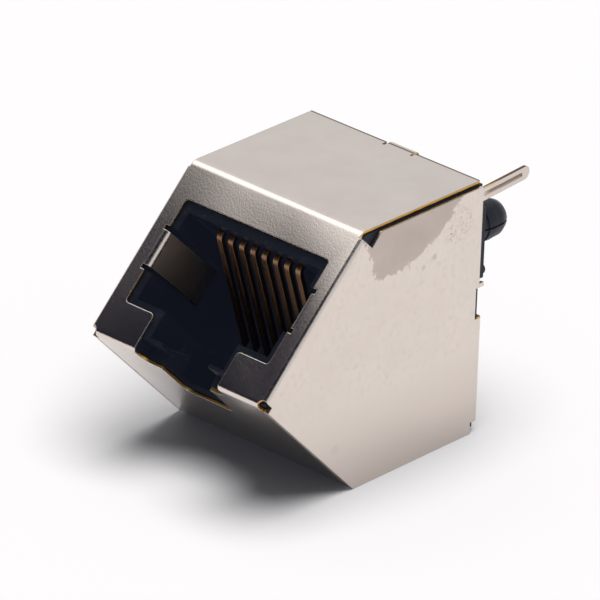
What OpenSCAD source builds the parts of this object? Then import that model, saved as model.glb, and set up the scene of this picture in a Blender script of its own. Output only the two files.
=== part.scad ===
// Shielded eight contact modular jack for a circuit board, with its port at 45 degrees.
// It lies on its rear wall: Z up, X across the jack, and the circuit board side faces +Y.

/* [Shield sheet] */
// Width over the two side panels
shell_w = 16; // [15.8:0.1:17]
// Length of the top panel, from its front bend to the board edge
top_len = 11.6; // [11.4:0.1:14]
// Length of the sloping front panel
front_len = 13.5; // [13.5:0.1:14.5]
// Length of the sloping underside panel
under_len = 13; // [13:0.1:15]
// Thickness of the sheet
sheet_t = 0.25; // [0.2:0.01:0.3]
// Inside radius of the tight bends
bend_in = 0.15; // [0.1:0.01:0.2]
// Inside radius of the bend between the front and top panels
top_bend_in = 0.65; // [0.4:0.05:0.8]
// Slit between the folded side panels and the panels that meet them
slit = 0.1; // [0.05:0.01:0.15]
// Drop of the side panels' upper edge below the top panel's face
side_drop = 0.36; // [0.32:0.01:0.6]

/* [Port window] */
// Width of the window's wide part
window_w = 13; // [12.6:0.1:13.2]
// Distance of the window's upper edge from the top bend
window_top = 2.6; // [2.2:0.1:3]
// Height of the window's wide part
window_h = 8.05; // [7.6:0.05:8.4]
// Width of the latch cut in the front panel and round the lower bend
latch_cut_w = 7.6; // [7:0.1:8.4]
// Reach of that width along the underside
latch_cut_l = 1.6; // [1.2:0.1:2]
// Width of the tail cut in the underside
tail_cut_w = 4.4; // [4.2:0.1:5]
// Reach of the tail cut along the underside
tail_cut_l = 5.2; // [4.6:0.1:6]
// Corner radius of the cut edges
cut_r = 0.3; // [0.2:0.05:0.4]

/* [Ground springs] */
// Distance of the springs' upper edge from the top bend
spring_top = 5.1; // [4.8:0.1:5.3]
// Width of each spring blade along the slope
spring_w = 2.7; // [2.4:0.1:2.9]
// Depth that the blades reach into the port
spring_len = 6.3; // [5.6:0.1:6.8]
// Outer radius of the springs' root bend
spring_bend = 0.5; // [0.4:0.05:0.6]
// Inset of the blades' root from the window's edges
spring_inset = 0.15; // [0.1:0.05:0.25]
// Travel of the blades' contact point towards the plug
spring_bow = 0.6; // [0.3:0.05:0.65]
// Width of the relief notch at each end of a spring
relief_w = 0.35; // [0.2:0.05:0.4]

/* [Board edge of the shield] */
// Width of the two board tabs
tab_w = 0.95; // [0.8:0.05:1.1]
// Length of the board tabs past the shield's edge
tab_len = 5.1; // [4.6:0.1:5.4]
// Drop of the right tab's edge below the side panel's upper edge
tab_drop = 0.12; // [0.02:0.01:0.3]
// Height of the left tab's middle above the rear wall's face
left_tab_z = 12.4; // [12:0.1:13.5]
// Inward lean of the board tabs in degrees
tab_lean = 4.4; // [0:0.2:6]
// Length of the edge flaps on the side panels
flap_len = 7.75; // [6:0.25:8]
// Height of the edge flaps above the rear wall's face
flap_z = 0.85; // [0.7:0.05:1.2]
// Reach of the flaps across the board face
flap_reach = 1.3; // [1:0.1:1.4]
// Height of the notch above each flap
notch_h = 2.4; // [2:0.1:2.6]
// Depth of that notch
notch_d = 0.3; // [0.2:0.05:0.4]
// Width of the keeper tab that folds down from the top panel
keeper_w = 2.3; // [1.8:0.1:3]
// Place of the keeper tab across the jack
keeper_x = 0.6; // [0:0.1:1]

/* [Housing] */
// Clearance between the housing and the sheet
fit_gap = 0.05; // [0.03:0.01:0.1]
// Stand of the housing's board face past the shield's edge
face_y = 0.2; // [0.15:0.05:0.3]
// Stand of the peg pad past the shield's edge
pad_y = 0.7; // [0.6:0.05:0.8]
// Height of the peg pad's lower edge above the rear wall's face
pad_z = 11.35; // [11.25:0.05:11.45]
// Height of the pad itself
pad_h = 5.2; // [5:0.1:5.6]
// Stand of the circuit board's seat past the shield's edge
board_y = 0.95; // [0.9:0.05:1.1]
// Width of the plug cavity
port_w = 11.9; // [11.7:0.05:12.1]
// Distance of the cavity's contact wall from the top bend
port_top = 3.35; // [3.2:0.05:3.5]
// Height of the plug cavity
port_h = 6.8; // [6.6:0.05:7]
// Depth of the plug cavity
port_depth = 11.4; // [11:0.1:11.6]
// Width of the latch channel
latch_w = 6.6; // [6.3:0.05:6.8]
// Height of the latch channel at the port's mouth
latch_h = 2; // [1.8:0.05:2.1]
// Width of the latch tail channel between the two latch ledges
tail_w = 4.2; // [3.8:0.05:4.3]
// Depth of the latch ledges' catch face behind the port's face
catch_depth = 3.6; // [3.2:0.1:4]
// Rise of the ledges' ramps towards the catch face
ledge_rise = 0.55; // [0.3:0.05:0.7]
// Thickness of the floor behind the latch ledges
floor_t = 0.3; // [0.25:0.05:0.4]
// Height of the housing's corner cut beside the latch mouth
mouth_cut = 1.1; // [0.8:0.05:1.3]

/* [Board studs] */
// Diameter of the studs that the circuit board rests on
stud_d = 0.8; // [0.6:0.05:0.8]
// Height of the upper pair of studs above the rear wall's face
stud_high = 11.8; // [11.75:0.05:11.9]
// Height of the lower pair of studs above the rear wall's face
stud_low = 1.7; // [1.3:0.1:2]

/* [Board pegs] */
// Diameter of the pegs
peg_d = 2.6; // [2.4:0.05:2.7]
// Diameter of the pegs' barbed heads
peg_head_d = 2.84; // [2.8:0.02:3]
// Distance between the two pegs
peg_pitch = 11.43; // [11:0.01:11.6]
// Height of the pegs above the rear wall's face
peg_z = 14.3; // [14:0.05:14.5]
// Length of the pegs past the board seat
peg_len = 3.25; // [2.9:0.05:3.6]
// Width of the slot that splits each peg
peg_slot = 0.15; // [0.1:0.05:0.3]

/* [Contacts] */
// Spacing of the contacts
pitch = 1.02; // [1:0.01:1.05]
// Width of each contact
contact_w = 0.46; // [0.4:0.01:0.5]
// Thickness of the contact strip
contact_t = 0.35; // [0.3:0.01:0.38]
// Depth of the contacts' nose behind the port's face
nose_depth = 1.5; // [1.3:0.1:1.8]
// Centre line radius of the contacts' nose
nose_r = 0.55; // [0.5:0.01:0.6]
// Slope of the spring legs to the plug's way in, in degrees
leg_slope = 27; // [25:0.5:28]
// Length of the spring legs
leg_len = 9.7; // [9.4:0.1:9.9]
// Height of the upper row of solder pins above the rear wall's face
pin_row_z = 7.7; // [7.5:0.05:7.8]
// Distance between the two rows of solder pins
row_step = 2.54; // [2:0.01:2.6]
// Length of the solder pins past the board seat
pin_len = 2.9; // [2.6:0.1:3.4]
// Length of the bevel at the pins' tips
pin_tip = 0.35; // [0.2:0.05:0.5]
// Centre line radius of the bend from a contact's groove to its pin
pin_bend = 0.5; // [0.4:0.05:0.7]
// Clearance round a contact in its groove and slot
contact_gap = 0.03; // [0.02:0.01:0.06]

/* [Hidden] */
$fn = 48;

contacts = 8;           // positions in the port
tilt = 45;              // slope of the port's face to the top panel, in degrees
far = 30;               // longer than any cut through the jack
steps = 6;              // straight pieces in each small formed bend

// Corners of the shield's side outline as [y, z], with the board edge on y = 0
rise = front_len * sin(tilt) + under_len * cos(tilt);
top_front = [-top_len, rise];
function slope_at(s, n) = top_front + [n * sin(tilt) - s * cos(tilt), -s * sin(tilt) - n * cos(tilt)];
nose_low = slope_at(front_len, 0);
rear_low = slope_at(front_len, under_len);
outline = [top_front, nose_low, rear_low, [0, 0], [0, rise]];
outline_r = [top_bend_in + sheet_t, bend_in + sheet_t, bend_in + sheet_t, 0, 0];

wall = sheet_t + fit_gap;                         // sheet and its clearance
side_in = shell_w / 2 - sheet_t;                  // inner face of a side panel
panel_half = side_in - slit;                      // half width of the top, underside and rear panels
side_top = rise - side_drop;                      // upper edge of the side panels
window_end = window_top + window_h;               // lower edge of the window's wide part
port_end = port_top + port_h;                     // lower edge of the plug cavity
blade_x = window_w / 2 - spring_inset;            // inner face of a spring's root
spring_end = spring_top + spring_w;
flap_top = flap_z + flap_len;
wire_s = port_top - contact_t / 2 - 0.3;          // centre line of the contacts in their grooves
pin_end = board_y + pin_len;
insert_w = contacts * pitch + 1;                  // width of the insert that carries the contacts
tab_tip_y = tab_len * cos(tab_lean);              // reach of the leaning tabs
root = 0.5;                                       // how deep moulded studs are rooted in the housing
fold_t = sheet_t - 0.02;                          // thickness of the small folds, drawn out by the bending

function unit(v) = v / norm(v);
function half_angle(a, p, b) = acos(unit(a - p) * unit(b - p)) / 2;
// Point that lies at distance r from both lines of a corner
function inner_point(a, p, b, r) = p + unit(unit(a - p) + unit(b - p)) * r / sin(half_angle(a, p, b));
// Points along the round of radius r at a corner
function bend(a, p, b, r) =
    let (m = inner_point(a, p, b, r), reach = r / tan(half_angle(a, p, b)),
         from = p + unit(a - p) * reach - m, to = p + unit(b - p) * reach - m,
         start = atan2(from[1], from[0]), turn = atan2(cross(from, to), from * to))
    [for (i = [0:steps]) m + r * [cos(start + turn * i / steps), sin(start + turn * i / steps)]];
// A bent line: its corners, each with the radius of its bend
function bent_line(points, radii) =
    [for (i = [0:len(points) - 1])
        each (i == 0 || i == len(points) - 1 || radii[i - 1] == 0) ? [points[i]]
            : bend(points[i - 1], points[i], points[i + 1], radii[i - 1])];
// Offset direction of a line at point i, long enough to keep the strip's thickness in the bends
function side_way(line, i) =
    let (a = unit(line[i] - line[max(i - 1, 0)] + (i == 0 ? line[1] - line[0] : [0, 0])),
         b = i == len(line) - 1 ? a : unit(line[i + 1] - line[i]), m = unit(a + b))
    [-m[1], m[0]] / (m * a);
// Closed outline of a strip with thickness t along a line, and with its own thickness at the line's end
function strip(line, t, end_t = undef) =
    let (last = len(line) - 1, half = [for (i = [0:last]) (i == last && end_t != undef ? end_t : t) / 2])
    concat([for (i = [0:last]) line[i] + side_way(line, i) * half[i]],
           [for (i = [last:-1:0]) line[i] - side_way(line, i) * half[i]]);
function inset(points, d) =
    let (n = len(points))
    [for (i = [0:n - 1]) inner_point(points[(i + n - 1) % n], points[i], points[(i + 1) % n], d)];

// The part's origin lies under the middle of its bounding box, between the low bend and the tabs' tips
low_bend = inner_point(top_front, nose_low, rear_low, outline_r[1]);
y_mid = (low_bend[0] - outline_r[1] + max(tab_tip_y, pin_end, board_y + peg_len)) / 2;

// Outline with each corner rounded by its own radius
module rounded(points, radii) {
    n = len(points);
    polygon([for (i = [0:n - 1])
        each radii[i] > 0 ? bend(points[(i + n - 1) % n], points[i], points[(i + 1) % n], radii[i])
                          : [points[i]]]);
}

// Puts the part's origin under its middle
module place() { translate([0, -y_mid, 0]) children(); }

// A side outline in [y, z] made solid across the jack
module across(w) { rotate([90, 0, 90]) linear_extrude(w, center = true) children(); }

// Frame of the front panel: x across, y down the slope, z into the jack
module on_front() { translate([0, top_front[0], top_front[1]]) rotate([180 + tilt, 0, 0]) children(); }

// Frame of the underside panel: x across, y back along the slope, z into the jack
module on_underside() { translate([0, nose_low[0], nose_low[1]]) rotate([tilt - 90, 0, 0]) children(); }

// A box in the front panel's frame: half width, range down the slope, range into the jack
module slope_box(half, s0, s1, n0, n1) {
    on_front() translate([-half, s0, n0]) cube([2 * half, s1 - s0, n1 - n0]);
}

module both_sides() { children(); mirror([1, 0, 0]) children(); }

// Solid inside the shield's faces, moved in by d, with the bends between front and sides
module body(d, board_end) {
    low = inset(outline, d);
    r = [for (v = outline_r) max(v - d, 0)];
    half = shell_w / 2 - d;
    lead = 0.002;   // keeps the side bends' outline just clear of the front face
    intersection() {
        across(2 * half)
            rounded([low[0], low[1], low[2], [board_end, d], [board_end, rise - d]], r);
        on_front() translate([0, far, 0]) rotate([90, 0, 0]) linear_extrude(2 * far)
            rounded([[-half, d - lead], [half, d - lead], [half, far], [-half, far]], [r[1], r[1], 0, 0]);
    }
}

// Window and latch cut of the front panel, drawn down the slope
module window() {
    w = window_w / 2;
    l = latch_cut_w / 2;
    rounded([[-w, window_top], [w, window_top], [w, window_end], [-w, window_end]],
            [cut_r, cut_r, cut_r, cut_r]);
    translate([-l, window_end - cut_r]) square([2 * l, front_len]);
    for (side = [-1, 1]) {
        translate([side * (l + cut_r / 2), window_end + cut_r / 2]) difference() {
            square(cut_r, center = true);
            translate([side * cut_r / 2, cut_r / 2]) circle(cut_r);
        }
        translate([side * w, 0]) spring_relief(side);
    }
}

// Notches that free a spring's root from the front panel
module spring_relief(side) {
    out = spring_bend - spring_inset;
    translate([side > 0 ? -cut_r : -out, spring_top - relief_w])
        square([out + cut_r, spring_w + 2 * relief_w]);
}

// Cut of the underside panel, drawn back along the slope
module latch_clearance() {
    l = latch_cut_w / 2;
    t = tail_cut_w / 2;
    rounded([[-l, -far], [l, -far], [l, latch_cut_l], [-l, latch_cut_l]], [0, 0, 3 * cut_r, 3 * cut_r]);
    rounded([[-t, 0], [t, 0], [t, tail_cut_l], [-t, tail_cut_l]], [0, 0, 2 * cut_r, 2 * cut_r]);
}

// Ground spring that folds in from the window's right edge
module spring() {
    root = blade_x + spring_bend;
    line = bent_line([[root + sheet_t, sheet_t / 2], [blade_x + sheet_t / 2, sheet_t / 2],
                      [blade_x + sheet_t / 2 - spring_bow, spring_len * 0.78],
                      [blade_x - spring_bow / 3, spring_len]],
                     [spring_bend - sheet_t / 2, 1.2]);
    on_front() translate([0, spring_end, 0]) rotate([90, 0, 0]) linear_extrude(spring_w)
        polygon(strip(line, fold_t));
}

// Board tab at height z that leans in from the plane of the right side panel, with its pressed groove
module board_tab(z) {
    r = tab_w / 2;
    groove_r = 0.16;
    plane = shell_w / 2 - sheet_t / 2;
    line = bent_line([[plane, -r], [plane, 0], [plane - tab_len * sin(tab_lean), tab_len * cos(tab_lean)]], [1]);
    translate([0, 0, z]) difference() {
        intersection() {
            linear_extrude(tab_w, center = true) polygon(strip(line, fold_t));
            rotate([90, 0, 90]) linear_extrude(shell_w) {
                translate([-far, -r]) square([far + tab_tip_y - r, tab_w]);
                translate([tab_tip_y - r, 0]) circle(r);
            }
        }
        translate([plane + fold_t / 2 + groove_r / 3, 0, 0]) rotate([0, 0, tab_lean]) translate([0, r / 2, 0]) {
            rotate([-90, 0, 0]) cylinder(r = groove_r, h = tab_len - 2.5 * r);
            translate([0, tab_len - 2.5 * r, 0]) sphere(groove_r);
            sphere(groove_r);
        }
    }
}

// Flap that folds from a panel's edge over the board face: centre line from the panel's plane inwards
function flap_line(plane, reach) =
    let (out = face_y + contact_gap + sheet_t / 2)
    bent_line([[plane, -1], [plane, out], [plane - reach, out]], [sheet_t * 0.8]);

module side_flap() {
    line = flap_line(shell_w / 2 - sheet_t / 2, flap_reach);
    translate([0, 0, flap_z]) linear_extrude(flap_len) polygon(strip(line, fold_t));
}

// Small nub on the board edge of the right side panel, just below the peg pad
module edge_nub() {
    reach = 0.45;
    height = 0.3;
    translate([shell_w / 2 - sheet_t / 2 - fold_t / 2, -reach, pad_z - 1.5 * height])
        cube([fold_t, 2 * reach, height]);
}

module keeper_tab() {
    line = [for (p = flap_line(rise - sheet_t / 2, flap_reach)) [p[1], p[0]]];
    translate([keeper_x, 0, 0]) across(keeper_w) polygon(strip(line, fold_t));
}

// Everything that is sheared away between the panels and along the board edge
module shield_cuts() {
    corner = 0.15;                // corner cut of the top panel
    relief_s = top_bend_in * 0.7; // end of the side bends, just past the top bend
    relief_n = 1.35;              // reach of the open corner into the side panel
    hole_r = 0.4;                 // round relief where three panels meet
    bite = 0.01;                  // reach of the slits into the side panel
    both_sides() {
        // upper edge of the side panel, its open corner and the top panel's corner cut
        translate([panel_half, -far, side_top]) cube([far, 2 * far, far]);
        on_front() translate([panel_half, -far, -far]) cube([far, far + relief_s, far + relief_n]);
        translate([panel_half, 0, side_top]) linear_extrude(1)
            polygon([[-corner, slit], [slit, -corner], [slit, slit]]);
        // slits beside the underside and rear panels, from the round relief to the board edge
        on_underside() translate([panel_half, sheet_t, -1]) cube([slit + bite, under_len, 1 + 2 * sheet_t]);
        translate([panel_half, rear_low[0], -1]) cube([slit + bite, far, 1 + 2 * sheet_t]);
        on_front() translate([side_in, front_len - bend_in, -1]) cylinder(r = hole_r, h = 1 + 2 * hole_r);
        // notches at both ends of the side flap
        translate([panel_half, -notch_d, flap_top]) cube([1, far, notch_h]);
        translate([panel_half, -notch_d, -1]) cube([1, far, flap_z + 1]);
    }
    for (side = [-1, 1])
        translate([keeper_x + side * (keeper_w + slit * 2) / 2, 0, rise])
            cube([slit * 2, 1, 2], center = true);
}

module shield() {
    color("#c9c3bd") place() {
        difference() {
            body(0, 0);
            body(sheet_t, 1);
            on_front() translate([0, 0, -1]) linear_extrude(1 + 2 * sheet_t) window();
            on_underside() translate([0, 0, -1]) linear_extrude(1 + 2 * sheet_t) latch_clearance();
            shield_cuts();
        }
        both_sides() {
            spring();
            side_flap();
            edge_nub();
        }
        board_tab(side_top - tab_drop - tab_w / 2);
        mirror([1, 0, 0]) board_tab(left_tab_z);
        keeper_tab();
    }
}

// Split peg with a shaft, a slightly wider head and a domed end, along +Y from the pad's face
module peg() {
    r = peg_d / 2;
    head = peg_head_d / 2;
    end = board_y + peg_len - pad_y;
    shaft = end / 3;        // straight length below the head
    slot = shaft * 0.65;    // where the slot begins
    difference() {
        rotate([-90, 0, 0]) rotate_extrude()
            polygon([[0, -root], [r, -root], [r, shaft], [head * 0.98, shaft * 1.05], [head, end / 2],
                     [head * 0.96, end * 0.76], [head * 0.78, end * 0.92], [head * 0.5, end], [0, end]]);
        translate([-far / 2, slot, -peg_slot / 2]) cube([far, far, peg_slot]);
    }
}

// Contact shape in [y, z]: spring leg, nose, straight run in the groove, and solder pin in its row
function contact_line(row) =
    let (z = pin_row_z - row * row_step,
         nose = slope_at(wire_s, nose_depth + nose_r - nose_r / tan(leg_slope / 2)),
         run_n = (rise - z) / cos(tilt) - wire_s,
         leg_n = nose_depth + nose_r - nose_r / tan(leg_slope / 2),
         leg = nose_r / tan(leg_slope / 2) + leg_len)
    bent_line([slope_at(wire_s + leg * sin(leg_slope), leg_n + leg * cos(leg_slope)), nose,
               slope_at(wire_s, run_n), [pin_end - pin_tip, z], [pin_end, z]], [nose_r, pin_bend, 0]);

function contact_x(i) = (i - (contacts - 1) / 2) * pitch;

module contact_solid(i, gap) {
    translate([contact_x(i), 0, 0]) across(contact_w + 2 * gap)
        polygon(strip(contact_line(i % 2), contact_t + 2 * gap, contact_t / 3));
}

// Plug cavity with the latch channel, the ramped latch ledges and the ground springs' pockets
module port() {
    floor_s = front_len - wall - floor_t;
    mouth_s = port_end + latch_h;
    join = 1;               // overlap of the channels with the cavity
    back_wall = 2;          // how much shorter the latch channel is than the cavity
    pocket = 0.6;           // depth behind the springs' tips
    slope_box(port_w / 2, port_top, port_end, -1, port_depth);
    on_front() rotate([90, 0, 90]) linear_extrude(latch_w, center = true)
        polygon([[port_end - join, -1], [mouth_s, -1], [mouth_s, latch_cut_l],
                 [mouth_s - ledge_rise, catch_depth], [port_end - join, catch_depth]]);
    slope_box(latch_w / 2, port_end - join, floor_s, catch_depth, port_depth - back_wall);
    slope_box(tail_w / 2, port_end, far, -1, tail_cut_l - 2 * fit_gap);
    slope_box(latch_cut_w / 2 + fit_gap, front_len - mouth_cut, far, -1, latch_cut_l);
    slope_box(blade_x + spring_bend + fit_gap, spring_top - relief_w, spring_end + relief_w, -1,
              spring_len + pocket);
}

// Ribs that part the contacts' tips at the back of the port
module comb() {
    low = port_top + 3;
    high = low + 3.4;
    front = port_depth - 1.8;
    rim = 0.45;             // bars at both ends of the slots
    floor = 0.2;            // left behind the slots
    difference() {
        slope_box(port_w / 2, low, high, front, port_depth + floor / 2);
        for (i = [0:contacts - 1])
            translate([contact_x(i), 0, 0])
                slope_box(contact_w / 2 + 4 * contact_gap, low + rim, high - rim, front - 1,
                          port_depth - floor);
    }
}

// Outline of the contact insert in [y, z], grown by d
function insert_outline(d) =
    let (below = 1.56, above = 0.5, web = 0.1,
         z0 = pin_row_z - row_step - below - d, z1 = pin_row_z + above + d,
         line = rise - top_len - 2 * (port_top - web + d) * sin(tilt))
    [[face_y, z0], [face_y, z1], [line - z1, z1], [line - z0, z0]];

// Round stud from the board face at y0 up to the circuit board's seat
module stud(y0) {
    translate([0, y0 - root, 0]) rotate([-90, 0, 0]) cylinder(r = stud_d / 2, h = board_y - y0 + root);
}

module housing() {
    pad_half = side_in - fit_gap;
    floor = 0.2;            // left behind the contacts' grooves
    color("#1b1d22") place() {
        difference() {
            union() {
                difference() {
                    body(wall, face_y);
                    port();
                }
                comb();
            }
            across(insert_w + 2 * fit_gap) polygon(insert_outline(fit_gap));
            for (i = [0:contacts - 1]) {
                contact_solid(i, contact_gap);
                translate([contact_x(i), 0, 0])
                    slope_box(contact_w / 2 + contact_gap, wire_s - contact_t / 2 - contact_gap, port_top + 1,
                              nose_depth - contact_t, port_depth - floor);
            }
        }
        translate([-pad_half, face_y - root, pad_z]) cube([2 * pad_half, pad_y - face_y + root, pad_h]);
        both_sides() {
            translate([peg_pitch / 2, pad_y, peg_z]) peg();
            translate([pad_half - stud_d / 2 - fit_gap, 0, stud_high]) stud(pad_y);
            translate([port_w / 4, 0, stud_low]) stud(face_y);
        }
    }
}

module contact_insert() {
    color("#26282e") place() difference() {
        across(insert_w) polygon(insert_outline(0));
        for (i = [0:contacts - 1]) contact_solid(i, contact_gap);
    }
}

module contact(number) { color("#d8b25a") place() contact_solid(number - 1, 0); }

shield();
housing();
contact_insert();
for (number = [1:contacts])
    contact(number);
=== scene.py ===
"""Dresses the shielded 45 degree jack: folded sheet, moulded housing, formed contacts and a white table.

Lengths in the settings are metres, and positions are in the part's own frame: it lies on its rear wall,
Z up, X across the jack, and the circuit board side faces +Y.
"""

import math

import bmesh
import bpy
import numpy as np
from bpy.props import FloatProperty, FloatVectorProperty, PointerProperty, StringProperty
from mathutils import Matrix, Vector


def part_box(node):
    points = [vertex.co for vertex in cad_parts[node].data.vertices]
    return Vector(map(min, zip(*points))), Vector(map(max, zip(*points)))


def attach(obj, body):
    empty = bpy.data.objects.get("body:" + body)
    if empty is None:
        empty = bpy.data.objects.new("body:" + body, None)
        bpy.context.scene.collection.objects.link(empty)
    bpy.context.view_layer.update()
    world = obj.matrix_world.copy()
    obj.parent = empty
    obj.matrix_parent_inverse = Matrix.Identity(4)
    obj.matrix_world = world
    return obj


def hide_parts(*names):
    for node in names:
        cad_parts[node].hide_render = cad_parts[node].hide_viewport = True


bl_info = {
    "name": "Shielded Jack Dressing",
    "version": (1, 0, 0),
    "blender": (4, 5, 0),
    "location": "3D View > Sidebar > Jack",
    "description": "Finishes the folded shield, the moulded housing and the contacts of a board jack",
    "category": "Object",
}

MM = 0.001

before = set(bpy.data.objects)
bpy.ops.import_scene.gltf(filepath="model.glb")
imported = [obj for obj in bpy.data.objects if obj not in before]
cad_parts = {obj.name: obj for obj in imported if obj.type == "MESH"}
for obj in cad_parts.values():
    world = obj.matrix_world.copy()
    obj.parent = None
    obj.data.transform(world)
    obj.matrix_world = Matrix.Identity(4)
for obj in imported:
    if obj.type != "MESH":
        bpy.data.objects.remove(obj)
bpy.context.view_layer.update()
CONTACTS = ["contact_%d" % number for number in range(1, 9)]


# ---------------------------------------------------------------- where the shield's panels lie

SHIELD_LOW, SHIELD_HIGH = (np.array(corner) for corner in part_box("shield"))
TOP_Z = SHIELD_HIGH[2]
SIDE_X = SHIELD_HIGH[0]
BOARD_Y = SHIELD_LOW[1] + 20.98 * MM        # board edge of the panels; flaps and tabs reach past it

# The front panel's own directions: down the slope, and into the jack. It starts at the top panel's edge.
SLOPE = math.radians(45)
DOWN = np.array([0, -math.sin(SLOPE), -math.cos(SLOPE)])
INTO = np.array([0, math.cos(SLOPE), -math.sin(SLOPE)])
FRONT_TOP = np.array([0, BOARD_Y - 11.6 * MM, TOP_Z])
FRONT_LENGTH = 13.5 * MM
SIDE_ACROSS = 7.0 * MM                      # past this distance from the middle only the sides' parts lie

# Share of a face's normal along a direction: below the first the face is edge-on to it, above the others
# it looks that way roughly, nearly, or squarely
EDGE_ON = 0.35
ROUGHLY_ON = 0.5
NEARLY_ON = 0.8
SQUARE_ON = 0.9

# Board tab of the right side panel: the height of its middle and of its groove, and where the groove ends
TAB_Z = 17.783 * MM
GROOVE_HALF = 0.12 * MM
GROOVE_END = SHIELD_HIGH[1] - 0.78 * MM


# ---------------------------------------------------------------- settings

class JackShieldSettings(bpy.types.PropertyGroup):
    """Sheet, plating and wear of the folded shield"""

    plating: StringProperty(name="Plating", description="Colour of the nickel, as sRGB hex",
                            default="#ddd3ca")
    # also the colour of the painted shade low on the right side panel
    stain_and_shade: StringProperty(name="Stain", description="Colour of the tarnished nickel, as sRGB hex",
                          default="#b3a79e")
    brass: StringProperty(name="Brass", description="Colour of the brass at sheared edges, as sRGB hex",
                          default="#d8aa52")
    # the torn colour also paints shade in the tabs' groove and along the top panel's board and left edges
    torn: StringProperty(name="Torn brass", description="Colour of the torn inner edge, as sRGB hex",
                         default="#5a4326")
    sheet: FloatProperty(name="Sheet", description="Thickness of the sheet", default=0.25 * MM,
                         unit="LENGTH", precision=5)
    edge: FloatProperty(name="Edge", description="Width of the broken edges of the sheet",
                        default=0.04 * MM, unit="LENGTH", precision=6)
    rim: FloatProperty(name="Rim", description="Radius that the punch rolls over at the cut edges",
                       default=0.09 * MM, unit="LENGTH", precision=6)
    grain: FloatProperty(name="Grain", description="Spacing of the rolling grain across its run",
                         default=0.12 * MM, unit="LENGTH", precision=6)


class JackHousingSettings(bpy.types.PropertyGroup):
    """Moulded plastic of the housing and the contact insert"""

    plastic: StringProperty(name="Plastic", description="Colour of the plastic, as sRGB hex",
                            default="#0c0e13")
    worn: StringProperty(name="Worn plastic", description="Colour of rubbed plastic, as sRGB hex",
                         default="#2a2d36")
    # painted glow: the plastic emits this faint colour, which stands in for stray light over its shaded
    # faces and in the dark port
    painted_glow: StringProperty(name="Haze", description="Faint light that the dark plastic scatters, as sRGB hex",
                         default="#0e1119")
    edge: FloatProperty(name="Edge", description="Radius of the moulded edges", default=0.05 * MM,
                        unit="LENGTH", precision=6)
    spark: FloatProperty(name="Spark grain", description="Grain of the spark-eroded mould",
                         default=0.06 * MM, unit="LENGTH", precision=6)


class JackContactSettings(bpy.types.PropertyGroup):
    """Formed and plated contacts"""

    # painted shade: this gold is darker than a bright gold flash, standing in for the shade deep inside the
    # port
    shaded_gold: StringProperty(name="Gold", description="Colour of the gold flash, as sRGB hex",
                         default="#967458")
    tin: StringProperty(name="Tin", description="Colour of the tinned solder pins, as sRGB hex",
                        default="#cfccc8")
    edge: FloatProperty(name="Edge", description="Width of the contacts' broken edges", default=0.04 * MM,
                        unit="LENGTH", precision=6)


class JackStageSettings(bpy.types.PropertyGroup):
    """White table, studio light and camera"""

    floor: StringProperty(name="Floor", description="Colour of the table, as sRGB hex", default="#fdfbfc")
    floor_radius: FloatProperty(name="Floor radius", description="Radius of the table", default=3.0,
                                unit="LENGTH")
    sky: FloatProperty(name="Sky", description="Strength of the even light from all round", default=0.17)
    key: FloatProperty(name="Key", description="Strength of the key lamp", default=2.72)
    key_spread: FloatProperty(name="Key spread", description="Angle that the key lamp fills",
                              default=math.radians(50), subtype="ANGLE")
    key_from: FloatVectorProperty(name="Key from", description="Direction to the key lamp",
                                  default=(0.13, -0.03, 0.99), subtype="DIRECTION")
    dark_side: FloatVectorProperty(name="Dark side", description="Direction to the studio's unlit side",
                                   default=(-0.72, -0.66, 0.22), subtype="DIRECTION")
    unlit: StringProperty(name="Unlit side", description="Colour of the studio's unlit side, as sRGB hex",
                          default="#262634")
    flag: FloatVectorProperty(name="Flag", description="Direction to the dark flag over the camera",
                              default=(0.12, -0.76, 0.64), subtype="DIRECTION")
    softbox: FloatVectorProperty(name="Softbox", description="Direction to the overhead softbox",
                                 default=(-0.42, 0.12, 0.9), subtype="DIRECTION")
    azimuth: FloatProperty(name="Azimuth", description="Camera's turn from the port side towards +X",
                           default=math.radians(41.99), subtype="ANGLE")
    elevation: FloatProperty(name="Elevation", description="Camera's height over the table",
                             default=math.radians(26.06), subtype="ANGLE")
    roll: FloatProperty(name="Roll", description="Camera's roll", default=math.radians(2.007),
                        subtype="ANGLE")
    distance: FloatProperty(name="Distance", description="Camera's distance from its target", default=0.5,
                            unit="LENGTH")
    lens: FloatProperty(name="Lens", description="Focal length in millimetres", default=449.3)
    target: FloatVectorProperty(name="Target", description="Point that the camera looks at",
                                default=(0.398 * MM, BOARD_Y - 9.441 * MM, 10.465 * MM),
                                subtype="TRANSLATION")


# ---------------------------------------------------------------- sizes of the finishes

# Roughness of the plated panels, and of the springs that plugs rub. Neither range crosses 0.27, because
# the render's noise filter changes its way there and would leave specks.
PANEL_GLOSS = (0.18, 0.24)
SPRING_GLOSS = (0.36, 0.42)

GRAIN_STRETCH = 24              # length of a line of the rolled grain over its width
GRAIN_HEIGHT = 0.0045 * MM
FINE_GRAIN = 0.8                # spacing of the fine grain over that of the rolled grain
WAVE = 7 * MM                   # slow waves of sheet that was pressed
WAVE_HEIGHT = 0.25 * MM
CLOUD = 3.2 * MM                # clouds of tarnish
WISP = 0.9 * MM                 # wisps that break up the tarnished patch's border
WISP_SHIFT = 2.4 * MM           # how far they move that border
SPECK = 0.45 * MM
RIPPLE = 0.55 * MM
MARKS_APART = 2.1 * MM          # small rubbed marks on every panel

# Gradual turn of the front panel below the top bend: its reach, its curve per metre, and the share of
# that curve at the left and right ends
SHOULDER = 10.8 * MM
SHOULDER_CURVE = 8.0
SHOULDER_ENDS = (0.7, 1.1)

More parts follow.
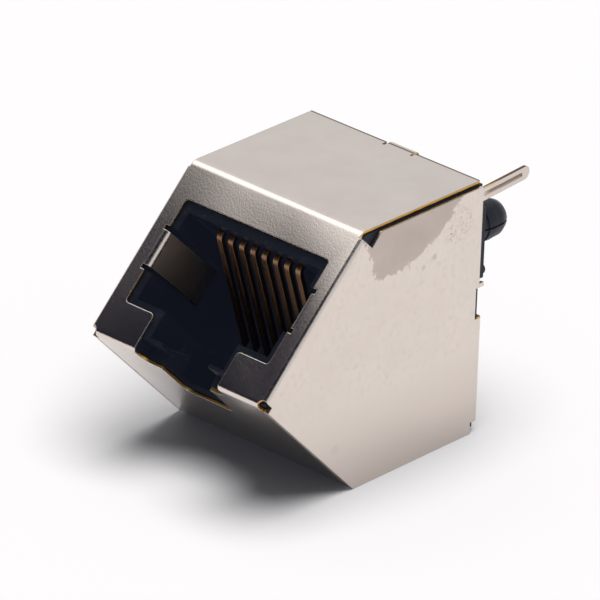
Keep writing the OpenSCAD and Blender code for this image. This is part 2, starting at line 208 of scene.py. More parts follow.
# Tarnished patch of the right side panel: its border is a parabola that opens upwards, cut off in front
# by a leaning line
STAIN_MIDDLE = BOARD_Y - 8.5 * MM
STAIN_LOW = 14.85 * MM
STAIN_CURVE = 85.0
STAIN_FRONT = BOARD_Y - 4.35 * MM
STAIN_LEAN = 0.41
LOW_SHADE_TOP = 9 * MM               # painted shade fades out from the rear wall to this height
RIGHT_PANEL = (7.9 * MM, 7.95 * MM)     # x over which these finishes set in

# Torn colour mixed in: a little over the tabs, as painted shade in their groove, and as a painted shade
# line along the top panel's board edge and left edge
TAB_DARKENING = 0.1
GROOVE_SHADE = 0.75
EDGE_SHADE_LINE = 0.9
BOARD_LINE = 0.15 * MM
LEFT_LINE = 0.13 * MM
BLUR = 0.03 * MM                # half the width over which a groove or a line fades

# Marks on the same panel: middle, reach, strength, and whether ripples of a dried drop fill it
MARKS = [
    (Vector((8 * MM, BOARD_Y - 2.3 * MM, 16.4 * MM)), 1.9 * MM, 0.9, True),
    (Vector((8 * MM, BOARD_Y - 4.7 * MM, 14.76 * MM)), 0.3 * MM, 0.6, False),
    (Vector((8 * MM, BOARD_Y - 5.76 * MM, 14.3 * MM)), 0.28 * MM, 0.45, False),
    (Vector((8 * MM, BOARD_Y - 13.9 * MM, 3.6 * MM)), 0.6 * MM, 0.45, False),
]

# Bands of a sheared edge by depth below the outer face: smeared nickel ends in the first range and the
# torn inner edge starts in the second. Patches shift both by up to BAND_SHIFT.
SMEAR_END = (0.08 * MM, 0.11 * MM)
TORN_START = (0.2 * MM, 0.25 * MM)
BAND_SHIFT = 0.1 * MM
BAND_PATCH = 0.8 * MM
SHEAR_LINE = 0.05 * MM
SHEAR_HEIGHT = 0.004 * MM

SPARK_HEIGHT = 0.008 * MM       # plastic: height of the spark grain, flow clouds and rubbed spots
FLOW = 2.4 * MM
RUBBED_SPOT = 0.5 * MM

DRAWN_LINE = 0.06 * MM          # contacts: lines along the strip, their height, and where the tin starts
DRAWN_STRETCH = 1 / 0.06
DRAWN_HEIGHT = 0.006 * MM
TIN_START = (BOARD_Y - 0.5 * MM, BOARD_Y + 0.1 * MM)

MOTTLE = 20 * MM                # table


# ---------------------------------------------------------------- colour and nodes

# Settings that many nodes share
MULTIPLY = {"operation": "MULTIPLY"}
MULTIPLY_ADD = {"operation": "MULTIPLY_ADD"}
SUBTRACT = {"operation": "SUBTRACT"}
MAXIMUM = {"operation": "MAXIMUM"}
MINIMUM = {"operation": "MINIMUM"}
ABSOLUTE = {"operation": "ABSOLUTE"}
DOT = {"operation": "DOT_PRODUCT"}
SOFT = {"interpolation_type": "SMOOTHSTEP"}
TINT = {"data_type": "RGBA"}
NOISE_BAND = {"From_Min": 0.3, "From_Max": 0.7}     # most of a noise's values lie in it


def linear(code):
    """Linear red, green, blue and alpha of an sRGB hex code: below 0.04045 it is c / 12.92, above it
    is ((c + 0.055) / 1.055) to the power 2.4."""
    rgb = np.array([int(code[k:k + 2], 16) for k in (1, 3, 5)]) / 255
    rgb = np.where(rgb <= 0.04045, rgb / 12.92, ((rgb + 0.055) / 1.055) ** 2.4)
    return (*rgb.tolist(), 1.0)


def add(tree, kind, settings=None, **inputs):
    """Adds a node with its settings. An input is named as its socket, or numbered as i0, i1 and so on, and
    takes a value, a socket that feeds it, or a node whose first output feeds it. A Mix node takes its
    colours at i6 and i7 and gives the mixed one at output 2."""
    node = tree.nodes.new("ShaderNode" + kind)
    for key, value in (settings or {}).items():
        setattr(node, key, value)
    for key, value in inputs.items():
        socket = node.inputs[int(key[1:]) if key[1:].isdigit() else key.replace("_", " ")]
        if isinstance(value, bpy.types.Node):
            value = value.outputs[0]
        if isinstance(value, bpy.types.NodeSocket):
            tree.links.new(value, socket)
        else:
            socket.default_value = value
    return node


def new_material(name):
    """An empty material and its node tree."""
    material = bpy.data.materials.new(name)
    material.use_nodes = True
    material.node_tree.nodes.clear()
    return material, material.node_tree


def repeats(size):
    """Scale of a pattern whose features repeat at a real size."""
    return 1.0 / size


# ---------------------------------------------------------------- materials

def nickel_plated_sheet(s, name, gloss):
    """Bright nickel on rolled brass sheet, pressed and folded. The rolling grain runs down the front panel
    and on through the folds, which gives a soft, slightly streaked gloss. Handling leaves cloudy tarnish
    and fine marks on the big side panel. The roughness varies between the two values of gloss."""
    material, tree = new_material(name)
    texture = add(tree, "TexCoord")
    place = texture.outputs["Object"]
    x, y, z = add(tree, "SeparateXYZ", Vector=place).outputs
    across = add(tree, "Math", ABSOLUTE, i0=x)
    right = add(tree, "MapRange", Value=x, From_Min=RIGHT_PANEL[0], From_Max=RIGHT_PANEL[1])
    # rolling grain: noise drawn out along the slope of the front panel, coarser than on real sheet so that
    # it shows
    rolled = add(tree, "Mapping", Vector=place, Rotation=(SLOPE, 0, 0), Scale=(1, 1 / GRAIN_STRETCH, 1))
    grain = add(tree, "TexNoise", Vector=rolled, Scale=repeats(s.grain), Detail=1.0, Roughness=0.5)
    fine = add(tree, "TexNoise", Vector=place, Scale=repeats(s.grain * FINE_GRAIN), Detail=1.0,
               Roughness=0.5)
    cloud = add(tree, "TexNoise", Vector=place, Scale=repeats(CLOUD), Detail=4.0, Roughness=0.55)
    wisps = add(tree, "TexNoise", Vector=place, Scale=repeats(WISP), Detail=5.0, Roughness=0.7,
                Distortion=1.2)
    # tarnished patch: above the parabola and behind the leaning line, both made ragged by the wisps
    ragged = add(tree, "Math", MULTIPLY_ADD, i0=wisps, i1=WISP_SHIFT, i2=-0.5 * WISP_SHIFT)
    off = add(tree, "Math", SUBTRACT, i0=y, i1=STAIN_MIDDLE)
    off = add(tree, "Math", MULTIPLY, i0=off, i1=off)
    above = add(tree, "Math", MULTIPLY_ADD, i0=off, i1=-STAIN_CURVE, i2=z)
    above = add(tree, "Math", i0=above, i1=ragged)
    above = add(tree, "MapRange", SOFT, Value=above, From_Min=STAIN_LOW - 0.1 * MM,
                From_Max=STAIN_LOW + 0.12 * MM)
    behind = add(tree, "Math", MULTIPLY_ADD, i0=z, i1=STAIN_LEAN, i2=y)
    behind = add(tree, "Math", i0=behind, i1=ragged)
    behind = add(tree, "MapRange", SOFT, Value=behind, From_Min=STAIN_FRONT - 0.1 * MM,
                 From_Max=STAIN_FRONT + 0.2 * MM)
    tarnish = add(tree, "MapRange", Value=cloud, From_Min=0.2, From_Max=0.7, To_Min=0.7)
    for mask in (above, behind, right):
        tarnish = add(tree, "Math", MULTIPLY, i0=tarnish, i1=mask)
    # small rubbed marks scattered over every panel
    cells = add(tree, "TexVoronoi", Vector=rolled, Scale=repeats(MARKS_APART), Randomness=1.0)
    mark = add(tree, "MapRange", Value=cells, From_Min=0.07, From_Max=0.0)
    sparse = add(tree, "MapRange", Value=cloud, From_Min=0.55, From_Max=0.62)
    mark = add(tree, "Math", MULTIPLY, i0=mark, i1=sparse)
    tarnish = add(tree, "Math", MAXIMUM, i0=tarnish, i1=mark)
    # faint clouds everywhere, painted shade that darkens the side panel low down towards the rear wall, and
    # fine specks on the side panel
    faint = add(tree, "MapRange", Value=cloud, **NOISE_BAND, To_Max=0.16)
    painted_low_shade = add(tree, "MapRange", SOFT, Value=z, From_Min=LOW_SHADE_TOP, From_Max=0.0, To_Max=0.5)
    painted_low_shade = add(tree, "Math", MULTIPLY, i0=painted_low_shade, i1=right)
    speck = add(tree, "TexNoise", Vector=place, Scale=repeats(SPECK), Detail=4.0, Roughness=0.6)
    speck = add(tree, "MapRange", Value=speck, From_Min=0.45, From_Max=0.75, To_Max=0.3)
    speck = add(tree, "Math", MULTIPLY, i0=speck, i1=right)
    # ripples: thin lines where a twisted noise crosses its middle value
    ripple = add(tree, "TexNoise", Vector=place, Scale=repeats(RIPPLE), Detail=1.0, Distortion=1.5)
    ripple = add(tree, "Math", SUBTRACT, i0=ripple, i1=0.5)
    ripple = add(tree, "Math", ABSOLUTE, i0=ripple)
    ripple = add(tree, "MapRange", Value=ripple, From_Min=0.03, From_Max=0.012)
    stains_and_painted_shade = [tarnish, painted_low_shade, speck]
    for centre, reach, strength, rippled in MARKS:
        away = add(tree, "VectorMath", {"operation": "DISTANCE"}, i0=place, i1=centre).outputs["Value"]
        near = add(tree, "MapRange", SOFT, Value=away, From_Min=reach, From_Max=0.5 * reach,
                   To_Max=strength)
        stains_and_painted_shade.append(add(tree, "Math", MULTIPLY, i0=near, i1=ripple) if rippled else near)
    # tone mixes in the stain colour for tarnish, marks and specks, and for the painted shade low on the
    # side panel
    tone = faint
    for stain_and_shade in stains_and_painted_shade:
        tone = add(tree, "Math", MAXIMUM, i0=tone, i1=stain_and_shade)
    colour = add(tree, "Mix", TINT, i0=tone, i6=linear(s.plating), i7=linear(s.stain_and_shade))
    # tabs a little darker all over, with painted shade in their stiffening groove
    off = add(tree, "Math", SUBTRACT, i0=z, i1=TAB_Z)
    off = add(tree, "Math", ABSOLUTE, i0=off)
    painted_groove_shade = add(tree, "MapRange", Value=off, From_Min=GROOVE_HALF + BLUR, From_Max=GROOVE_HALF - BLUR,
                 To_Max=GROOVE_SHADE)
    ended = add(tree, "MapRange", Value=y, From_Min=GROOVE_END + 2 * BLUR, From_Max=GROOVE_END - 2 * BLUR)
    painted_groove_shade = add(tree, "Math", MULTIPLY, i0=painted_groove_shade, i1=ended)
    tab = add(tree, "Math", MAXIMUM, i0=painted_groove_shade, i1=TAB_DARKENING)
    past = add(tree, "MapRange", Value=y, From_Min=BOARD_Y, From_Max=BOARD_Y + 0.9 * MM)
    outside = add(tree, "MapRange", Value=across, From_Min=SIDE_ACROSS, From_Max=SIDE_ACROSS + 0.1 * MM)
    for mask in (past, outside):
        tab = add(tree, "Math", MULTIPLY, i0=tab, i1=mask)
    # painted shade: a dark line in the torn colour along the top panel's board edge and its left edge,
    # which spares the keeper tab
    board_edge = add(tree, "MapRange", Value=y, From_Min=BOARD_Y - BOARD_LINE - BLUR,
                     From_Max=BOARD_Y - BOARD_LINE + BLUR)
    plated = add(tree, "MapRange", Value=y, From_Min=BOARD_Y + 0.04 * MM, From_Max=BOARD_Y + 0.02 * MM)
    board_edge = add(tree, "Math", MULTIPLY, i0=board_edge, i1=plated)
    left_edge = add(tree, "MapRange", Value=x, From_Min=SHIELD_LOW[0] + LEFT_LINE + BLUR,
                    From_Max=SHIELD_LOW[0] + LEFT_LINE - BLUR)
    line = add(tree, "Math", MAXIMUM, i0=board_edge, i1=left_edge)
    top = add(tree, "MapRange", Value=z, From_Min=TOP_Z - 0.03 * MM, From_Max=TOP_Z - 0.01 * MM,
              To_Max=EDGE_SHADE_LINE)
    line = add(tree, "Math", MULTIPLY, i0=line, i1=top)
    darker_tabs_and_painted_shade = add(tree, "Math", MAXIMUM, i0=tab, i1=line)
    # the torn colour paints shade in the groove and along the edge lines, and darkens the tabs a little
    colour = add(tree, "Mix", TINT, i0=darker_tabs_and_painted_shade, i6=colour.outputs[2], i7=linear(s.torn))
    rough = add(tree, "MapRange", Value=grain, **NOISE_BAND, To_Min=gloss[0], To_Max=gloss[1])
    rough = add(tree, "Math", MULTIPLY_ADD, i0=tarnish, i1=0.02, i2=rough)
    # relief: edges that the punch rolled over, then the grain
    edges = add(tree, "Bevel", {"samples": 6}, Radius=s.rim)
    height = add(tree, "Math", MULTIPLY_ADD, i0=fine, i1=0.8, i2=grain)
    bump = add(tree, "Bump", Height=height, Strength=1.0, Distance=GRAIN_HEIGHT, Normal=edges)
    # the front panel turns up gradually towards the top bend, by the square of the way past the shoulder
    down = add(tree, "VectorMath", DOT, i0=place, i1=DOWN).outputs["Value"]
    turn = add(tree, "Math", SUBTRACT, i0=float(FRONT_TOP @ DOWN) + SHOULDER, i1=down)
    turn = add(tree, "Math", MAXIMUM, i0=turn, i1=0.0)
    turn = add(tree, "Math", MULTIPLY, i0=turn, i1=turn)
    curve = add(tree, "MapRange", Value=x, From_Min=SHIELD_LOW[0], From_Max=SHIELD_HIGH[0],
                To_Min=-SHOULDER_ENDS[0] * SHOULDER_CURVE, To_Max=-SHOULDER_ENDS[1] * SHOULDER_CURVE)
    front = add(tree, "VectorMath", DOT, i0=texture.outputs["Normal"], i1=-INTO).outputs["Value"]
    front = add(tree, "Math", {"operation": "GREATER_THAN"}, i0=front, i1=NEARLY_ON)
    for factor in (curve, front):
        turn = add(tree, "Math", MULTIPLY, i0=turn, i1=factor)
    bump = add(tree, "Bump", Height=turn, Strength=1.0, Distance=1.0, Normal=bump)
    wave = add(tree, "TexNoise", Vector=place, Scale=repeats(WAVE), Detail=0.0)
    bump = add(tree, "Bump", Height=wave, Strength=1.0, Distance=WAVE_HEIGHT, Normal=bump)
    shader = add(tree, "BsdfPrincipled", Base_Color=colour.outputs[2], Roughness=rough, Normal=bump,
                 Metallic=1.0)
    add(tree, "OutputMaterial", Surface=shader)
    return material


def sheared_brass(s):
    """Bare brass where the punch sheared the plated sheet: warm yellow, a bright burnished band next to a
    rougher broken one, with fine lines through the thickness."""
    material, tree = new_material("sheared_cartridge_brass")
    place = add(tree, "TexCoord").outputs["Object"]
    lines = add(tree, "TexNoise", Vector=place, Scale=repeats(SHEAR_LINE), Detail=2.0, Roughness=0.6)
    patches = add(tree, "TexNoise", Vector=place, Scale=repeats(BAND_PATCH), Detail=2.0)
    # depth below the nearest outer face of the shield; z itself is the depth below the rear wall
    x, _, z = add(tree, "SeparateXYZ", Vector=place).outputs
    across = add(tree, "Math", ABSOLUTE, i0=x)
    depth = z
    for outer, reach in ((SIDE_X, across), (TOP_Z, z)):
        below = add(tree, "Math", SUBTRACT, i0=float(outer), i1=reach)
        depth = add(tree, "Math", MINIMUM, i0=depth, i1=below)
    for inward, start in ((INTO, FRONT_TOP @ INTO), (-DOWN, -(FRONT_TOP @ DOWN) - FRONT_LENGTH)):
        below = add(tree, "VectorMath", DOT, i0=place, i1=inward).outputs["Value"]
        below = add(tree, "Math", SUBTRACT, i0=below, i1=float(start))
        depth = add(tree, "Math", MINIMUM, i0=depth, i1=below)
    depth = add(tree, "Math", MULTIPLY_ADD, i0=patches, i1=BAND_SHIFT, i2=depth)
    # nickel smears over the cut's outer third, and its inner edge is torn
    smeared = add(tree, "MapRange", SOFT, Value=depth, From_Min=SMEAR_END[0], From_Max=SMEAR_END[1],
                  To_Min=1.0, To_Max=0.0)
    colour = add(tree, "Mix", TINT, i0=smeared, i6=linear(s.brass), i7=linear(s.stain_and_shade))
    torn = add(tree, "MapRange", SOFT, Value=depth, From_Min=TORN_START[0], From_Max=TORN_START[1])
    colour = add(tree, "Mix", TINT, i0=torn, i6=colour.outputs[2], i7=linear(s.torn))
    rough = add(tree, "MapRange", Value=lines, **NOISE_BAND, To_Min=0.28, To_Max=0.48)
    edges = add(tree, "Bevel", {"samples": 6}, Radius=s.rim)
    bump = add(tree, "Bump", Height=lines, Strength=0.5, Distance=SHEAR_HEIGHT, Normal=edges)
    shader = add(tree, "BsdfPrincipled", Base_Color=colour.outputs[2], Roughness=rough, Normal=bump,
                 Metallic=1.0)
    add(tree, "OutputMaterial", Surface=shader)
    return material


def moulded_pbt(s, name):
    """Black glass-filled PBT from a spark-eroded mould: a fine even grain with a low sheen, a few flow
    clouds, and paler rubbed spots."""
    material, tree = new_material(name)
    place = add(tree, "TexCoord").outputs["Object"]
    spark = add(tree, "TexNoise", Vector=place, Scale=repeats(s.spark), Detail=2.0, Roughness=0.6)
    flow = add(tree, "TexNoise", Vector=place, Scale=repeats(FLOW), Detail=3.0, Distortion=0.8)
    rubbed = add(tree, "TexNoise", Vector=place, Scale=repeats(RUBBED_SPOT), Detail=4.0, Roughness=0.7)
    rubbed = add(tree, "MapRange", Value=rubbed, From_Min=0.55, From_Max=0.75, To_Max=0.5)
    colour = add(tree, "Mix", TINT, i0=rubbed, i6=linear(s.plastic), i7=linear(s.worn))
    rough = add(tree, "MapRange", Value=flow, **NOISE_BAND, To_Min=0.3, To_Max=0.44)
    bump = add(tree, "Bump", Height=spark, Strength=0.4, Distance=SPARK_HEIGHT)
    # painted glow: the emission lifts the black plastic as though lit, also deep in the port's shade
    shader = add(tree, "BsdfPrincipled", Base_Color=colour.outputs[2], Roughness=rough, Normal=bump,
                 IOR=1.5, Specular_IOR_Level=0.22, Emission_Color=linear(s.painted_glow), Emission_Strength=1.0)
    add(tree, "OutputMaterial", Surface=shader)
    return material


def plated_bronze(s):
    """Phosphor bronze strip with a gold flash on the spring legs and bright tin on the solder pins, formed
    and slightly drawn along its length."""
    material, tree = new_material("gold_flashed_phosphor_bronze")
    place = add(tree, "TexCoord").outputs["Object"]
    drawn = add(tree, "Mapping", Vector=place, Rotation=(SLOPE, 0, 0), Scale=(1, 1 / DRAWN_STRETCH, 1))
    lines = add(tree, "TexNoise", Vector=drawn, Scale=repeats(DRAWN_LINE), Detail=2.0)
    _, y, _ = add(tree, "SeparateXYZ", Vector=place).outputs
    tinned = add(tree, "MapRange", SOFT, Value=y, From_Min=TIN_START[0], From_Max=TIN_START[1])
    # the darkened gold paints the port's shade onto the contact legs
    colour = add(tree, "Mix", TINT, i0=tinned, i6=linear(s.shaded_gold), i7=linear(s.tin))
    rough = add(tree, "MapRange", Value=lines, **NOISE_BAND, To_Min=0.3, To_Max=0.4)
    bump = add(tree, "Bump", Height=lines, Strength=0.3, Distance=DRAWN_HEIGHT)
    shader = add(tree, "BsdfPrincipled", Base_Color=colour.outputs[2], Roughness=rough, Normal=bump,
                 Metallic=1.0)
    add(tree, "OutputMaterial", Surface=shader)
    return material


def table_white(s):
    """Smooth white acrylic laminate, matt, with the faintest mottle. The eye sees a shadowed white."""
    material, tree = new_material("matt_white_laminate")
    place = add(tree, "TexCoord").outputs["Object"]
    mottle = add(tree, "TexNoise", Vector=place, Scale=repeats(MOTTLE), Detail=2.0)
    rough = add(tree, "MapRange", Value=mottle, To_Min=0.75, To_Max=0.85)
    shader = add(tree, "BsdfPrincipled", Base_Color=linear(s.floor), Roughness=rough,
                 Specular_IOR_Level=0.1)
    add(tree, "OutputMaterial", Surface=shader)
    return material


# ---------------------------------------------------------------- meshes

WELD = 1e-4 * MM                        # corners that agree to this are one
FLAT = math.radians(0.6)                # neighbours that turn less than this become one face
SHARP = math.radians(32)                # edges that turn more than this stay hard
BROKEN = math.radians(40)               # and more than this are broken


def joined_mesh(node, name):
    """A CAD node's triangles as one closed mesh: corners that agree to a ten-thousandth of a millimetre
    become one vertex, and flat neighbours are dissolved into one face."""
    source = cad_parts[node].data
    points = np.empty(len(source.vertices) * 3, np.float32)
    source.vertices.foreach_get("co", points)
    points = points.reshape(-1, 3)
    corners = np.empty(len(source.loops), np.int32)
    source.loops.foreach_get("vertex_index", corners)
    _, first, where = np.unique(np.round(points / WELD), axis=0, return_index=True, return_inverse=True)
    triangles = where.reshape(-1)[corners].reshape(-1, 3)
    whole = (triangles != np.roll(triangles, 1, axis=1)).all(axis=1)
    mesh = bpy.data.meshes.new(name)
    mesh.from_pydata(points[first], [], triangles[whole])
    work = bmesh.new()
    work.from_mesh(mesh)
    bmesh.ops.dissolve_limit(work, angle_limit=FLAT, use_dissolve_boundaries=False, verts=work.verts,
                             edges=work.edges)
    work.to_mesh(mesh)
    work.free()
    mesh.shade_smooth()
    mesh.set_sharp_from_angle(angle=SHARP)
    return mesh


def dressed_copy(node, name, materials, edge):
    """The piece that stands for a CAD node: its joined mesh with broken edges, riding on the part."""
    piece = bpy.data.objects.new(name, joined_mesh(node, name))
    bpy.context.scene.collection.objects.link(piece)
    for material in materials:
        piece.data.materials.append(material)
    rounding = piece.modifiers.new("broken_edges", "BEVEL")
    rounding.width = edge
    rounding.segments = 2
    rounding.limit_method = "ANGLE"
    rounding.angle_limit = BROKEN
    rounding.miter_outer = "MITER_ARC"
    rounding.harden_normals = True
    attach(piece, "root")
    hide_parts(node)
    return piece


# ---------------------------------------------------------------- shield

PLATED, SHEARED, BLADE = 0, 1, 2        # the shield's material slots

SLACK = 0.02 * MM                       # a face this near to a panel's surface lies on it
# Ground springs: across, into the port, and down the front panel. Their tips and blades start further in.
SPRING_ACROSS = 6.6 * MM
SPRING_INTO = (0.3 * MM, 7 * MM)
SPRING_DOWN = (4.5 * MM, 8.1 * MM)
SPRING_TIP = 5.9 * MM
BLADE_START = 0.45 * MM
# Side panels' upper rim, which the plating covers: across, and height
RIM_ACROSS = 7.6 * MM
RIM_HEIGHT = (16 * MM, TOP_Z - 0.3 * MM)
# What reaches past the board edge: flaps first, then the tabs
FLAP_PAST = (0.02 * MM, 0.6 * MM)
LOW_FLAP_TOP = 9 * MM
KEEPER_ACROSS = 3 * MM
KEEPER_LOW = 16 * MM
KEEPER_FOOT = TOP_Z - 1.0 * MM


def between(values, limits):
    """True where a value lies between two limits."""
    return (values > limits[0]) & (values < limits[1])


def shield_finish(centre, normal, sheet):
    """Slot of each face of the shield, from its centre and normal. A panel's depth is measured from its
    outer face, so a face between depth 0 and the sheet's thickness that is edge-on to the panel was
    sheared, unless it lies on a neighbouring panel's own surface. Springs, tabs and flaps are judged by
    the way they look."""
    across, height = np.abs(centre[:, 0]), centre[:, 2]
    past = centre[:, 1] - BOARD_Y
    down = (centre - FRONT_TOP) @ DOWN
    into = (centre - FRONT_TOP) @ INTO
    x_on, z_on = np.abs(normal[:, 0]), np.abs(normal[:, 2])
    panels = [  # depth below the outer face, and how squarely the face looks along the panel's own normal
        (TOP_Z - height, z_on),
        (into, np.abs(normal @ INTO)),
        (FRONT_LENGTH - down, np.abs(normal @ DOWN)),
        (height, z_on),
        (0.5 * (SHIELD_HIGH[0] - SHIELD_LOW[0]) - across, x_on),
    ]
    sheared = np.zeros(len(centre), bool)
    on_surface = np.zeros(len(centre), bool)
    for depth, facing in panels:
        sheared |= between(depth, (SLACK, sheet - SLACK)) & (facing < EDGE_ON)
        on_surface |= (facing > SQUARE_ON) & ((np.abs(depth) < SLACK) | (np.abs(depth - sheet) < SLACK))
    sheared &= ~on_surface
    spring = (across < SPRING_ACROSS) & between(into, SPRING_INTO) & between(down, SPRING_DOWN)
    sheared = np.where(spring, np.abs(normal @ DOWN) > ROUGHLY_ON, sheared)
    sheared |= spring & (np.abs(normal @ INTO) > NEARLY_ON) & (into > SPRING_TIP)
    sheared &= ~((across > RIM_ACROSS) & between(height, RIM_HEIGHT))
    tab = (past > FLAP_PAST[1]) & (across > SIDE_ACROSS)
    sheared = np.where(tab, x_on < ROUGHLY_ON, sheared)
    flap = between(past, FLAP_PAST)
    low_flap = flap & (height < LOW_FLAP_TOP)
    inner_end = (across < SIDE_ACROSS) & (x_on > ROUGHLY_ON)
    sheared = np.where(low_flap, (z_on > ROUGHLY_ON) | inner_end, sheared)
    keeper = flap & (across < KEEPER_ACROSS) & (height > KEEPER_LOW)
    foot = (height < KEEPER_FOOT) & (normal[:, 2] < -ROUGHLY_ON)
    sheared = np.where(keeper, (x_on > ROUGHLY_ON) | foot, sheared)
    blade = spring & (into > BLADE_START)
    return np.where(sheared, SHEARED, np.where(blade, BLADE, PLATED))


class JACK_OT_shield(bpy.types.Operator):
    """Plates the folded shield and leaves bare brass on its sheared edges"""

    bl_idname = "jack.shield"
    bl_label = "Folded shield"

    def execute(self, context):
        s = context.scene.jack_shield
        materials = [nickel_plated_sheet(s, "nickel_plated_rolled_sheet", PANEL_GLOSS), sheared_brass(s),
                     nickel_plated_sheet(s, "nickel_plated_rubbed_springs", SPRING_GLOSS)]
        piece = dressed_copy("shield", "folded_shield", materials, s.edge)
        piece.visible_diffuse = False    # the table's shadow stays free of light thrown back by the nickel
        faces = piece.data.polygons
        centre = np.empty(len(faces) * 3)
        normal = np.empty(len(faces) * 3)
        faces.foreach_get("center", centre)
        faces.foreach_get("normal", normal)
        finish = shield_finish(centre.reshape(-1, 3), normal.reshape(-1, 3), s.sheet)
        faces.foreach_set("material_index", finish.astype(np.int32))
        return {"FINISHED"}


# ---------------------------------------------------------------- housing and contacts

class JACK_OT_housing(bpy.types.Operator):
    """Moulds the housing with its pegs, and the insert that carries the contacts"""

    bl_idname = "jack.housing"
    bl_label = "Moulded housing"

    def execute(self, context):
        s = context.scene.jack_housing
        dressed_copy("housing", "moulded_housing",
                     [moulded_pbt(s, "black_spark_textured_pbt")], s.edge)
        dressed_copy("contact_insert", "moulded_insert",
                     [moulded_pbt(s, "black_insert_pbt")], s.edge)
        return {"FINISHED"}


class JACK_OT_contacts(bpy.types.Operator):
    """Finishes the eight formed contacts with gold legs and tinned pins"""

    bl_idname = "jack.contacts"
    bl_label = "Formed contacts"

    def execute(self, context):
        s = context.scene.jack_contacts
        finish = plated_bronze(s)
        for node in CONTACTS:
            dressed_copy(node, "formed_" + node, [finish], s.edge)
        return {"FINISHED"}


# ---------------------------------------------------------------- stage

TABLE_DROP = 0.004 * MM                 # keeps the table clear of the part's lowest faces
RINGS = 12
SPOKES = 96

# Light that gloss meets, above 1 where a lamp is brighter than white, and the angles in degrees at which
# each round zone of the studio starts to fade and ends
WALLS = (0.8, 0.8, 0.82, 1)
SOFTBOX = (1.9, 1.9, 1.9, 1)
BACKDROP = (1, 1, 1, 1)
SOFTBOX_ANGLES = (16, 34)
DARK_SIDE_ANGLES = (28, 62)
FLAG_ANGLES = (30, 50)


def disc_mesh(name, radius, height):
    """A round table top: ring radii grow with the square of their number, angles are even, and the middle
    ring has no radius, so its points close on one vertex."""
    grow = (np.arange(1, RINGS + 1) / RINGS) ** 2 * radius
    turn = np.linspace(0, 2 * np.pi, SPOKES, endpoint=False)
    ring = np.stack([np.outer(grow, np.cos(turn)), np.outer(grow, np.sin(turn)),
                     np.full((RINGS, SPOKES), height)], axis=-1).reshape(-1, 3)
    points = np.vstack([[[0, 0, height]], ring])
    spoke = np.arange(SPOKES)
    after = (spoke + 1) % SPOKES
    middle = np.stack([np.zeros(SPOKES, int), 1 + spoke, 1 + after], axis=1)
    low = 1 + np.arange(RINGS - 1)[:, None] * SPOKES
    quads = np.stack([low + spoke, low + SPOKES + spoke, low + SPOKES + after, low + after],
                     axis=-1).reshape(-1, 4)
    mesh = bpy.data.meshes.new(name)
    mesh.from_pydata(points, [], middle.tolist() + quads.tolist())
    return mesh


def studio_zone(tree, way, direction, angles):
    """1 inside a round zone of the studio, 0 outside it, with a soft border between the two angles."""
    near, far = (math.cos(math.radians(angle)) for angle in angles)
    facing = add(tree, "VectorMath", DOT, i0=way, i1=Vector(direction).normalized()).outputs["Value"]
    return add(tree, "MapRange", SOFT, Value=facing, From_Min=far, From_Max=near)


def studio_world(s):
    """Light Path gives the camera a white backdrop and diffuse surfaces a faint even sky. Gloss mirrors a
    white studio with a softbox overhead, an unlit side and a dark flag over the camera."""
    world = bpy.data.worlds.new("studio")
    world.use_nodes = True
    tree = world.node_tree
    tree.nodes.clear()
    path = add(tree, "LightPath")
    camera = path.outputs["Is Camera Ray"]
    gloss = path.outputs["Is Glossy Ray"]
    through = path.outputs["Is Transmission Ray"]
    way = add(tree, "TexCoord").outputs["Generated"]
    softbox = studio_zone(tree, way, s.softbox, SOFTBOX_ANGLES)
    walls = add(tree, "Mix", TINT, i0=softbox, i6=WALLS, i7=SOFTBOX)
    dark = add(tree, "Math", MAXIMUM, i0=studio_zone(tree, way, s.dark_side, DARK_SIDE_ANGLES),
               i1=studio_zone(tree, way, s.flag, FLAG_ANGLES))
    dark = add(tree, "Math", MULTIPLY, i0=dark, i1=gloss)
    studio = add(tree, "Mix", TINT, i0=dark, i6=walls.outputs[2], i7=linear(s.unlit))
    colour = add(tree, "Mix", TINT, i0=camera, i6=studio.outputs[2], i7=BACKDROP)
    full = add(tree, "Math", MAXIMUM, i0=gloss, i1=through)
    full = add(tree, "Math", MAXIMUM, i0=full, i1=camera)
    strength = add(tree, "Mix", {"data_type": "FLOAT"}, i0=full, i2=s.sky, i3=1.0)
    light = add(tree, "Background", Color=colour.outputs[2], Strength=strength)
    add(tree, "OutputWorld", Surface=light)
    return world


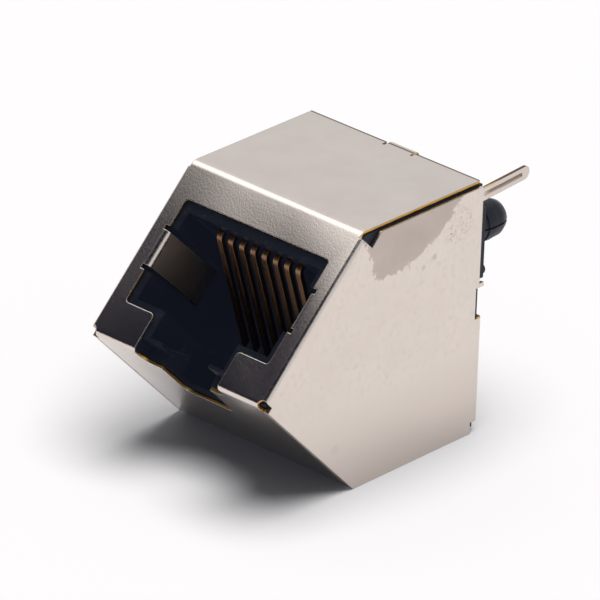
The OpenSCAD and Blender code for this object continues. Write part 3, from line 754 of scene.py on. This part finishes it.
class JACK_OT_stage(bpy.types.Operator):
    """Lays the white table, sets the lamp and the studio, and points the camera"""

    bl_idname = "jack.stage"
    bl_label = "Table, light and camera"

    def execute(self, context):
        s = context.scene.jack_stage
        scene = context.scene
        table = bpy.data.objects.new("table", disc_mesh("table", s.floor_radius, -TABLE_DROP))
        table.data.materials.append(table_white(s))
        scene.collection.objects.link(table)

        lamp = bpy.data.lights.new("key", "SUN")
        lamp.energy = s.key
        lamp.angle = s.key_spread
        key = bpy.data.objects.new("key", lamp)
        key.visible_glossy = False       # gloss mirrors the softbox instead
        key.rotation_euler = Vector(s.key_from).to_track_quat("Z", "Y").to_euler()
        scene.collection.objects.link(key)
        scene.world = studio_world(s)

        back = Vector((math.sin(s.azimuth) * math.cos(s.elevation),
                       -math.cos(s.azimuth) * math.cos(s.elevation), math.sin(s.elevation)))
        right = Vector((math.cos(s.azimuth), math.sin(s.azimuth), 0))
        upward = back.cross(right)
        turned = (math.cos(s.roll) * right + math.sin(s.roll) * upward,
                  math.cos(s.roll) * upward - math.sin(s.roll) * right, back)
        camera = bpy.data.objects.new("camera", bpy.data.cameras.new("camera"))
        camera.data.lens = s.lens
        camera.data.clip_start = 0.01
        camera.data.clip_end = 20
        camera.matrix_world = (Matrix.Translation(Vector(s.target) + back * s.distance)
                               @ Matrix(turned).transposed().to_4x4())
        scene.collection.objects.link(camera)
        scene.camera = camera
        scene.view_settings.view_transform = "Standard"
        return {"FINISHED"}


# ---------------------------------------------------------------- panel and registration

class JACK_PT_dressing(bpy.types.Panel):
    """Lists the jack's pieces and their settings"""

    bl_idname = "JACK_PT_dressing"
    bl_label = "Jack"
    bl_space_type = "VIEW_3D"
    bl_region_type = "UI"
    bl_category = "Jack"

    def draw(self, context):
        for operator, settings in STEPS:
            box = self.layout.box()
            box.operator(operator)
            group = getattr(context.scene, settings)
            for name in group.bl_rna.properties.keys():
                if name not in ("rna_type", "name"):
                    box.prop(group, name)


STEPS = [
    ("jack.shield", "jack_shield"),
    ("jack.housing", "jack_housing"),
    ("jack.contacts", "jack_contacts"),
    ("jack.stage", "jack_stage"),
]
GROUPS = {
    "jack_shield": JackShieldSettings,
    "jack_housing": JackHousingSettings,
    "jack_contacts": JackContactSettings,
    "jack_stage": JackStageSettings,
}
CLASSES = [*GROUPS.values(), JACK_OT_shield, JACK_OT_housing, JACK_OT_contacts, JACK_OT_stage,
           JACK_PT_dressing]


def register():
    for item in CLASSES:
        bpy.utils.register_class(item)
    for name, group in GROUPS.items():
        setattr(bpy.types.Scene, name, PointerProperty(type=group))


def unregister():
    for name in GROUPS:
        delattr(bpy.types.Scene, name)
    for item in reversed(CLASSES):
        bpy.utils.unregister_class(item)


def main():
    """Makes every piece and the stage."""
    register()
    for operator, _ in STEPS:
        group, name = operator.split(".")
        getattr(getattr(bpy.ops, group), name)()


if __name__ == "__main__":
    main()
